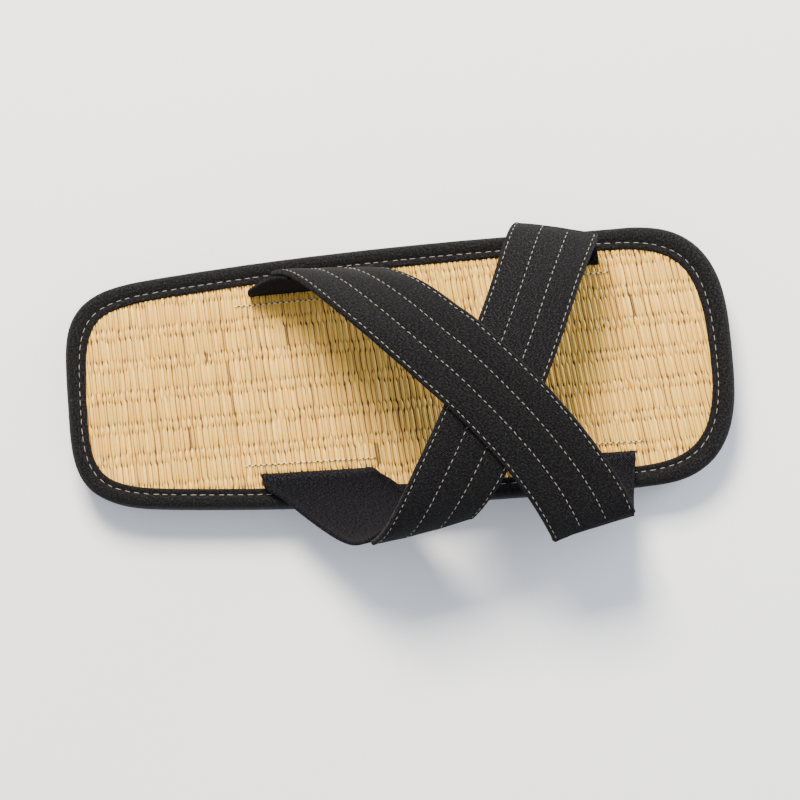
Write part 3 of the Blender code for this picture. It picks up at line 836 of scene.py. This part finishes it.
# %% Strap sizes
STRAP_EDGE, STRAP_SEAM, STRAP_FULL = 1.4 * MM, 1.85 * MM, 2.45 * MM
STRAP_END_FADE, RIM_SWELL, PUCKER = 7.0 * MM, 0.45 * MM, 0.06 * MM
DRIFT, DRIFT_WAVE = 0.16 * MM, 26.0 * MM
# Shares of the half width at which the rows run, and how wide the groove of an inner and an outer row is
SEAM_ROWS = (-0.905, -0.302, 0.302, 0.905)
SEAM_WIDTH, EDGE_SEAM_WIDTH, CHANNEL_SQUARENESS = 0.22, 0.04, 1.25
STRAP_STITCH_PITCH, STRAP_STITCH = 2.9 * MM, 1.8 * MM
STRAP_ROWS, STRAP_COLUMNS = 190, 61


# %% The form of a strap
def strap_thickness(v, length):
    """Thickness of a strap at its places across, v, and along, in metres from one end."""
    full = smoothstep(np.minimum(length, length.max() - length) / STRAP_END_FADE)
    inside = np.abs(v) < SEAM_ROWS[-1]
    channel = np.abs(((v - SEAM_ROWS[1]) / (SEAM_ROWS[2] - SEAM_ROWS[1]) + 0.5) % 1.0 - 0.5) * 2.0
    swell = np.sqrt(np.clip(channel * CHANNEL_SQUARENESS, 0.0, 1.0))
    soft = STRAP_SEAM + full * (STRAP_FULL - STRAP_SEAM) * swell
    rim = np.clip((1.0 - np.abs(v)) / (1.0 - SEAM_ROWS[-1]), 0.0, 1.0)
    edge = STRAP_EDGE + (STRAP_SEAM - STRAP_EDGE) * rim + RIM_SWELL * np.sin(math.pi * rim)
    thick = np.where(inside, soft, edge)
    seam = np.exp(-(channel / SEAM_WIDTH) ** 2)
    seam = np.where(inside, seam, np.exp(-((np.abs(v) - SEAM_ROWS[-1]) / EDGE_SEAM_WIDTH) ** 2))
    pucker = np.cos(length * math.tau / STRAP_STITCH_PITCH)
    return thick + seam * pucker * PUCKER


def strap_grid(name):
    """Inner surface of a strap, its normals, its place across and its distance along."""
    strap = STRAPS[name]
    even = np.linspace(-1.0, 1.0, STRAP_COLUMNS)
    v = 0.35 * np.sin(even * math.pi / 2) + 0.65 * even
    raised = STRAP_LIFT if name == "over" else 0.0
    first, last = np.array([[strap_end(strap, place, side) for place in v] for side in (RIGHT, LEFT)])
    rows = []
    lifts = []
    for step in np.linspace(0.0, 1.0, STRAP_ROWS):
        places = first + (last - first) * step
        rows.append([strap_point(strap, s, place) for s, place in zip(places, v)])
        lifts.append([raised * cover(*unrolled(strap, s, place)) for s, place in zip(places, v)])
    grid = np.array(rows)
    normal = outward(grid)
    grid = grid + normal * np.array(lifts)[:, :, None]
    centre = travel_along(grid[:, STRAP_COLUMNS // 2])
    return grid, normal, v, centre


def closed_shell(name, inner, outer, mat, flat):
    """A solid between two grids of points that share their rows and columns."""
    columns = inner.shape[1]
    rings = np.concatenate([inner, outer[:, ::-1]], axis=1)
    size = 2 * columns
    faces = ring_faces(len(rings), size, closed_stack=False).tolist()
    for first, turned in ((0, True), ((len(rings) - 1) * size, False)):
        for i in range(columns - 1):
            quad = (first + i, first + i + 1, first + size - 2 - i, first + size - 1 - i)
            faces.append(quad[::-1] if turned else quad)
    both = np.concatenate([flat, flat[:, ::-1]], axis=1).reshape(-1, 2)
    return make_piece(name, rings.reshape(-1, 3), faces, mat, flat=both)


def make_strap(name):
    grid, normal, v, centre = strap_grid(name)
    across = np.broadcast_to(v[None, :], grid.shape[:2])
    along = np.broadcast_to(centre[:, None], grid.shape[:2])
    drift = waves(along, across * STRAP_WIDTH, DRIFT_WAVE, seed=21 if name == "over" else 34)
    thick = strap_thickness(across, along) + DRIFT * drift
    outer = grid + normal * thick[:, :, None]
    flat = np.stack([along, across * STRAP_WIDTH / 2], axis=-1)
    piece = closed_shell(f"strap_{name}", grid, outer, STRAP_CLOTH, flat)
    return piece, outer, normal, v


# %% The rows of stitches of a strap
def strap_seams(outer, normal, v, phase):
    rows = []
    for place in SEAM_ROWS:
        path = np.vstack([sample(place, v, line) for line in outer])
        up = np.vstack([sample(place, v, line) for line in normal])
        rows.append(dashes(path, STRAP_STITCH_PITCH, STRAP_STITCH, up, offset=phase * STRAP_STITCH_PITCH))
        phase = (phase + 0.37) % 1.0
    return rows


# %% Both straps and their stitches
for strap_name, start_phase in (("under", 0.1), ("over", 0.6)):
    strap, strap_outer, strap_normal, strap_v = make_strap(strap_name)
    dress(strap, "strap_twill", "straps")
    stitch_piece(f"strap_{strap_name}_stitches", strap_seams(strap_outer, strap_normal, strap_v, start_phase),
                 "strap_twill")

# %% [markdown]
# ## Gussets
#
# Four short webs of elastic carry the straps. Each one rises through a slot in the mat, lies flat over the
# edge tape, curls up and is sewn inside the end of its strap. It stays just inside the last, so it never
# meets the strap that it carries. Each web is drawn line by line from its slot to its strap, and a few named
# bulges and tucks pull its free edges as the photographed ones are pulled.

# %% Gussets
GUSSET_OVERLAP, GUSSET_SHARE, GUSSET_COLUMNS = 9.0 * MM, 0.98, 41
# How a free edge bends between slot and strap: 1 is straight, more leaves the slot upright
HEEL_EDGE_POWER, TOE_EDGE_POWER = 1.05, 0.80
STEEP_HEEL_EDGE = {"gusset_rear_left": 2.1}
GUSSET_SWELL, SWELL_SKEW = {"gusset_rear_right": 1.9 * MM}, 4
GUSSET_TUCK, TUCK_SKEW = {"gusset_front_left": 1.0 * MM, "gusset_front_right": 5.0 * MM}, 1.4
# How far the heel corner of a root bulges toward the heel, and over what share of the way to the strap
ROOT_BULGE = {"gusset_rear_left": (0.9 * MM, 0.60), "gusset_rear_right": (1.7 * MM, 0.18)}
TOE_ROOT_LEAD = {"gusset_rear_right": 5.0 * MM}
HEM, HEM_REACH = 0.4 * MM, 1.3 * MM
WEB_INSET, WEB_THINNING = 0.12 * MM, 0.1 * MM
RIPPLE, RIPPLE_WAVE, RIPPLE_START, RIPPLE_FADE = 0.10 * MM, 11.0 * MM, 8.0 * MM, 6.0 * MM
# Strap, side, middle and length of the slot
GUSSETS = {
    "gusset_rear_left": ("over", LEFT, REAR_SLOT, 0.044),
    "gusset_rear_right": ("under", RIGHT, REAR_SLOT, 0.044),
    "gusset_front_left": ("under", LEFT, FRONT_LEFT_SLOT, 0.038),
    "gusset_front_right": ("over", RIGHT, FRONT_RIGHT_SLOT, 0.038),
}


# %% The form of a gusset
def gusset_line(name, share):
    """One line of a gusset, from the bottom of its slot up to the strap and on under its end."""
    strap_name, side, station, length = GUSSETS[name]
    strap = STRAPS[strap_name]
    v = GUSSET_SHARE * (2.0 * share - 1.0)
    end = strap_end(strap, v, side)
    end_x, end_s = unrolled(strap, end, v)
    slot_x = station + length * (share - 0.5)
    travel, _, _, turn_start = section(slot_x, side)
    _, _, _, end_turn = section(end_x, side)
    points = [last_point(slot_x, side * travel[-1])]
    lead = TOE_ROOT_LEAD.get(name, 0.0) * share
    for step in np.linspace(1.0, 0.0, 6, endpoint=False):
        s = turn_start + (travel[-2] - turn_start) * step
        points.append(last_point(slot_x + lead * (1.0 - step), side * s))
    slot_x += lead
    heel_power = STEEP_HEEL_EDGE.get(name, HEEL_EDGE_POWER)
    power = heel_power + share * (TOE_EDGE_POWER - heel_power)
    bulge, bulge_reach = ROOT_BULGE.get(name, (0.0, 1.0))
    for step in np.linspace(0.0, 1.0, 30):
        x = slot_x + (end_x - slot_x) * step ** power
        x -= bulge * (1.0 - share) ** 3 * math.sin(math.pi * min(step / bulge_reach, 1.0))
        s = section(x, side)[3] - (end_turn - abs(end_s)) * step
        tuck = GUSSET_TUCK.get(name, 0.0) * share * math.sin(math.pi * step ** TUCK_SKEW)
        swell = GUSSET_SWELL.get(name, 0.0) * (1.0 - share) * math.sin(math.pi * step ** SWELL_SKEW)
        points.append(last_point(x, side * s, -strap["flare"][side] * v * smoothstep(step) - tuck + swell))
    for step in np.linspace(0.0, 1.0, 7)[1:]:
        points.append(strap_point(strap, end - side * GUSSET_OVERLAP * step, v))
    return points


def make_gusset(name, seed):
    _, side, _, length = GUSSETS[name]
    even = np.linspace(-1.0, 1.0, GUSSET_COLUMNS)
    shares = 0.5 + 0.5 * (0.5 * even + 0.5 * np.sin(even * math.pi / 2))
    grid = np.array([gusset_line(name, share) for share in shares]).transpose(1, 0, 2)
    normal = outward(grid) * -side
    along = np.array([travel_along(grid[:, i]) for i in range(grid.shape[1])]).T
    across = np.broadcast_to(shares[None, :] * length, along.shape)
    ripple = RIPPLE * waves(across, along, RIPPLE_WAVE, seed=seed)
    ripple = ripple * smoothstep((along - RIPPLE_START) / RIPPLE_FADE)
    outer = grid - normal * (CLEARANCE + WEB_INSET - np.minimum(ripple, 0.0))[:, :, None]
    hem = HEM * np.exp(-(((0.5 - np.abs(shares - 0.5)) * length / HEM_REACH - 1.0) ** 2))
    inner = outer - normal * (GUSSET_THICK - WEB_THINNING + hem[None, :])[:, :, None]
    flat = np.stack([along, across], axis=-1)
    shells = (outer, inner) if side == LEFT else (inner, outer)
    return closed_shell(f"{name}_web", *shells, GUSSET_WEB, flat)


for number, gusset_name in enumerate(GUSSETS):
    dress(make_gusset(gusset_name, 40 + number), "gusset_elastic", gusset_name)

# %% [markdown]
# ## Rush mat
#
# The mat is woven from single rushes laid across the sole, side by side, over fine warp threads that run
# along it in pairs, 4 mm apart and repeated every 12.9 mm. At a warp, every other rush dives under and its
# neighbours close over it, which gives the rows of small dark gaps. Strands as real strips of mesh keep
# those gaps at any distance, where a bump map would only hint at them. Each rush has its own tone, width
# and wander, and each crossing its own tightness.
# A rush is painted lighter where it rises over a warp and darker where it dives. Each bay's random tone also
# sets how high the bay lies, so higher bays are painted lighter: painted highlight and shade over the rush's
# own colour.

# %% Mat sizes
STRAND_PITCH, STRAND_HALF, STRAND_HEIGHT = 1.17 * MM, 0.59 * MM, 0.40 * MM
STRAND_SEAT, STRAND_LIFT, LOOSE_LIFT = 0.34 * MM, 0.16 * MM, 0.12 * MM
STRAND_SWELL, SPARE_STRANDS = 0.21, 12
STRAND_JITTER = (0.05 * MM, 0.04 * MM)
WANDER, WANDER_WAVE, WANDER_STEP = 0.20 * MM, 38.0 * MM, 9.7 * MM
WARP_REPEAT, WARP_GAP = 12.9 * MM, 4.0 * MM
WARP_START, WARP_TILT = 2.3 * MM, 0.0095
PINCH, PINCH_REACH, PINCH_DIP = 0.13 * MM, 0.80 * MM, 0.22 * MM
KNOT_SLIP, DIVE_REACH = 0.42 * MM, 0.9 * MM
NEAR_PLACES = np.array([-1.5, -0.7, 0.0, 0.7, 1.5]) * MM
HEEL_LEAN, TOE_LEAN = math.radians(2.0), math.radians(8.0)
MAT_INSET, END_MARGIN, SLOT_HALF_WIDTH = 6.7 * MM, 0.3 * MM, 0.72 * MM
# Shares of a strand's tone: its own hue; a random tone per bay that also lifts the bay, so higher bays are
# painted lighter; and painted highlight where it rises, painted shade where it dives
HUE_SHARE, BAY_TONE_AND_LIGHT_SHARE, RISE_HIGHLIGHT_AND_SHADE_SHARE = 0.55, 0.45, 0.10
# A few pieces of rush are thin and dark: how many, how wide and how light
THIN_DARK_SHARE, THIN_WIDTH, THIN_TONE = 0.0012, 0.45, 0.02
STRAND_SECTION = np.array(((-1.0, -0.7), (-0.66, 0.5), (0.0, 1.0), (0.66, 0.5), (1.0, -0.7)))


def mat_edge():
    """Station and half width of the mat where it runs under the tape."""
    ring = edge_ring(MAT_INSET, 0.0)
    return ring[:EDGE_STEPS + 1, 0], ring[:EDGE_STEPS + 1, 1]


# %% Where strands may lie
def in_slot(x, y):
    """True where a strand would cross one of the slots."""
    hit = np.zeros_like(y, dtype=bool)
    for _, side, station, length in GUSSETS.values():
        centre = side * (slot_offset(x) - CLEARANCE - GUSSET_THICK / 2)
        hit |= (np.abs(x - station) < length / 2 + END_MARGIN) & (np.abs(y - centre) < SLOT_HALF_WIDTH)
    return hit


REPEATS = math.ceil(0.5 * max(width for _, width in SOLE_WIDTHS) / WARP_REPEAT) + 1
WARPS = np.sort(np.concatenate([np.arange(-REPEATS, REPEATS + 1) * WARP_REPEAT,
                                np.arange(-REPEATS, REPEATS + 1) * WARP_REPEAT - WARP_GAP]))


def strand_places():
    """Places along a strand: five at each warp, and one in the middle of each long bay."""
    close = (WARPS[:, None] + NEAR_PLACES[None, :]).ravel()
    middles = np.arange(-REPEATS, REPEATS + 1) * WARP_REPEAT + (WARP_REPEAT - WARP_GAP) / 2
    return np.sort(np.concatenate([close, middles]))


def open_runs(fine, inside):
    """Lowest and highest place of each unbroken run of places where a strand may lie."""
    edges = np.flatnonzero(np.diff(np.concatenate([[0], inside.astype(int), [0]])))
    return [(fine[a], fine[b - 1]) for a, b in zip(edges[::2], edges[1::2]) if b - a > 8]


# %% Weave the mat
def strand_start(i):
    """Station at which strand i crosses the middle of the sole."""
    return -SOLE_LENGTH / 2 + (i - SPARE_STRANDS) * STRAND_PITCH


def strand_grid(i, places, knots, hue):
    """Rows of section points and tones of strand i at places across the sole. Each warp has its own knot."""
    start = strand_start(i)
    woven = places - WARP_START - WARP_TILT * start
    warp = np.abs(woven[:, None] - WARPS[None, :]).argmin(axis=1)
    tight, slip = knots[warp, 0], knots[warp, 2]
    bay = np.searchsorted(WARPS, woven) % len(knots)
    loose, chance = knots[bay, 1], knots[bay, 3]
    distance = woven - WARPS[warp] - slip * KNOT_SLIP
    near = np.exp(-(distance / PINCH_REACH) ** 2)
    parity = 1 if i % 2 else -1
    raised = parity * np.tanh(distance / DIVE_REACH) * np.where(warp % 2 == 0, 1.0, -1.0)
    lean = HEEL_LEAN + (TOE_LEAN - HEEL_LEAN) * (start / SOLE_LENGTH + 0.5)
    wander = WANDER * waves(places, np.full_like(places, i * WANDER_STEP), WANDER_WAVE, count=4, seed=70)
    partner = parity * np.where(warp // 2 % 2 == 0, 1.0, -1.0)
    x = start - math.tan(lean) * places + wander + partner * near * PINCH * (2.0 * tight - 0.4)
    z = FOOTBED_HIGH + STRAND_SEAT + STRAND_LIFT * raised + LOOSE_LIFT * (loose - 0.5) * (1.0 - near)
    z = z - PINCH_DIP * near * (0.4 + 1.2 * tight)
    squeeze = (0.12 + 0.30 * tight) * near
    half = STRAND_HALF * (1.0 + STRAND_SWELL * raised - squeeze) * (0.96 + 0.08 * hue)
    # Painted highlight and shade: lighter where the rush rises or its bay lies high, darker where it dives
    tone = HUE_SHARE * hue + BAY_TONE_AND_LIGHT_SHARE * loose + RISE_HIGHLIGHT_AND_SHADE_SHARE * raised
    thin = chance < THIN_DARK_SHARE
    half = np.where(thin, half * THIN_WIDTH, half)
    tone = np.where(thin, THIN_TONE, tone)
    points = np.stack([x[:, None] + half[:, None] * STRAND_SECTION[None, :, 0],
                       np.broadcast_to(places[:, None], (len(places), len(STRAND_SECTION))),
                       z[:, None] + STRAND_HEIGHT * STRAND_SECTION[None, :, 1]], axis=-1)
    return points, np.repeat(np.clip(tone, 0.0, 1.0), len(STRAND_SECTION))


def make_rush_mat():
    edge_x, edge_y = mat_edge()
    fine = np.linspace(-0.5, 0.5, 1200) * max(width for _, width in SOLE_WIDTHS)
    points = []
    faces = []
    tones = []
    first = 0
    size = len(WARPS)
    for i in range(int(SOLE_LENGTH / STRAND_PITCH) + 2 * SPARE_STRANDS):
        hue = rng.beta(2.4, 1.9)
        # How tight each knot is, how loose the bay beside it lies, how far the knot slips, and a chance
        knots = np.column_stack([rng.beta(1.3, 1.3, size), rng.beta(2.0, 1.8, size),
                                 rng.normal(0.0, 1.0, size), rng.random(size)])
        places = strand_places() + WARP_START + WARP_TILT * strand_start(i)
        jitter = rng.normal(0.0, STRAND_JITTER)
        centre = np.interp(fine, places, strand_grid(i, places, knots, hue)[0][:, 2, 0])
        reach = np.interp(centre, edge_x, edge_y, left=-1, right=-1)
        inside = (np.abs(fine) < reach) & ~in_slot(centre, fine)
        for low, high in open_runs(fine, inside):
            kept = places[(places > low + END_MARGIN) & (places < high - END_MARGIN)]
            rows = np.concatenate([[low], kept, [high]])
            block, tone = strand_grid(i, rows, knots, hue)
            block = block + (jitter[0], 0.0, jitter[1])
            quads = ring_faces(len(rows), len(STRAND_SECTION), closed_stack=False)
            quads = quads.reshape(-1, len(STRAND_SECTION), 4)[:, :-1].reshape(-1, 4)
            faces.append(quads + first)
            points.append(block.reshape(-1, 3))
            tones.append(tone)
            first += block.shape[0] * block.shape[1]
    return make_piece("rush_mat", np.vstack(points), np.vstack(faces), RUSH, tone=np.concatenate(tones))


dress(make_rush_mat(), "woven_rush")


# %% [markdown]
# ## Stitches on the mat
#
# A straight row of pale stitches runs just inside each slot, where the end of the gusset is sewn to the
# underside of the mat.
# Between the stitches, near-black dashes are painted shade in the needle holes.

# %% Stitches beside the slots
SLOT_STITCH_PITCH, SLOT_SEAM_INBOARD = 2.3 * MM, 5.3 * MM
SLOT_SEAM_BEFORE, SLOT_SEAM_AFTER = 7.0 * MM, 3.0 * MM
# Piece, shift along as a share of the pitch, then length, radius and height of a dash, and its finish
SLOT_SEAMS = (
    ("slot_stitches", 0.0, 1.3 * MM, 0.29 * MM, 0.90 * MM, MAT_THREAD),
    # The second row is painted shade for the needle holes
    ("slot_needle_holes", 0.5, 1.0 * MM, 0.28 * MM, 0.98 * MM, NEEDLE_HOLE_SHADE),
)


def slot_seam(side, station, length, shift, dash, radius, lift):
    x = np.linspace(station - length / 2 - SLOT_SEAM_BEFORE, station + length / 2 + SLOT_SEAM_AFTER, 40)
    x = x + shift * SLOT_STITCH_PITCH
    y = side * (slot_offset(x) - SLOT_SEAM_INBOARD)
    path = np.column_stack([x, y, np.full_like(x, FOOTBED_HIGH + lift)])
    return dashes(path, SLOT_STITCH_PITCH, dash, radius=radius)


for seam_name, shift, dash, radius, lift, thread in SLOT_SEAMS:
    rows = [slot_seam(side, station, length, shift, dash, radius, lift)
            for _, side, station, length in GUSSETS.values()]
    stitch_piece(seam_name, rows, "woven_rush", thread)

# %% [markdown]
# ## Floor, light and camera
#
# The sandal stands on a plain pale sweep under large soft lights. The camera looks at it almost from above,
# turned a little, as in the photograph. Its place was worked out from the outline of the sole. It is aimed at
# the middle of the sandal, and its lens is long enough for the sandal to fill the picture.

# %% Floor
FLOOR_REACH, FLOOR_COLOUR = 3.0, (0.91, 0.94, 0.98, 1.0)


def make_floor():
    mat, _, _ = new_material("studio_floor", Roughness=0.9, Base_Color=FLOOR_COLOUR)
    mesh = bpy.data.meshes.new("studio_floor")
    corners = [(x * FLOOR_REACH, y * FLOOR_REACH, 0.0) for x, y in ((-1, -1), (1, -1), (1, 1), (-1, 1))]
    mesh.from_pydata(corners, [], [(0, 1, 2, 3)])
    mesh.materials.append(mat)
    link_object("studio_floor", mesh)


make_floor()


# %% Lights
# Name, place, target, size in metres, power in watts and colour: a warm key, a weak fill and a cool rim
LIGHTS = (
    ("key", (-0.20, 1.00, 1.25), (0.0, 0.0, 0.02), 0.6, 80, (1.0, 0.89, 0.74)),
    ("fill", (0.70, -0.90, 1.30), (0.0, 0.0, 0.02), 1.2, 5, (1.0, 1.0, 1.0)),
    ("rim", (1.20, 0.55, 0.28), (0.10, 0.0, 0.02), 0.6, 20, (0.92, 0.96, 1.0)),
)
WORLD_COLOUR, WORLD_STRENGTH = (0.86, 0.90, 1.0, 1.0), 0.85


def area_light(name, place, target, size, power, colour):
    """A square soft light at a place, aimed at a target."""
    lamp = bpy.data.lights.new(name, "AREA")
    lamp.size = size
    lamp.energy = power
    lamp.color = colour
    light = link_object(name, lamp)
    light.location = place
    direction = np.array(target) - np.array(place)
    light.rotation_euler = Vector(direction).to_track_quat("-Z", "Y").to_euler()


for light_row in LIGHTS:
    area_light(*light_row)
world = bpy.data.worlds.new("studio")
bpy.context.scene.world = world
world.use_nodes = True
set_inputs(world.node_tree.nodes["Background"], Color=WORLD_COLOUR, Strength=WORLD_STRENGTH)
print(len(LIGHTS), "soft lights and a pale sky")

# %% Camera
CAMERA_PLACE = (0.0004, -0.1785, 1.1972)
CAMERA_TARGET = (0.0, -0.0110, 0.0200)
PICTURE_UP = (0.0776, 0.9755, 0.2059)
CAMERA_LENS, SENSOR_WIDTH = 132.0, 36.0


def make_camera():
    """A camera aimed at the middle of the sandal, rolled so that PICTURE_UP points up in the picture."""
    back = np.array(CAMERA_PLACE) - np.array(CAMERA_TARGET)
    back /= np.linalg.norm(back)
    right = np.cross(PICTURE_UP, back)
    right /= np.linalg.norm(right)
    up = np.cross(back, right)
    turn = Matrix([[right[i], up[i], back[i], CAMERA_PLACE[i]] for i in range(3)] + [[0, 0, 0, 1]])
    lens = bpy.data.cameras.new("camera")
    lens.lens = CAMERA_LENS
    lens.sensor_width = SENSOR_WIDTH
    camera = link_object("camera", lens)
    camera.matrix_world = turn
    bpy.context.scene.camera = camera


make_camera()
print("camera with a", CAMERA_LENS, "mm lens")
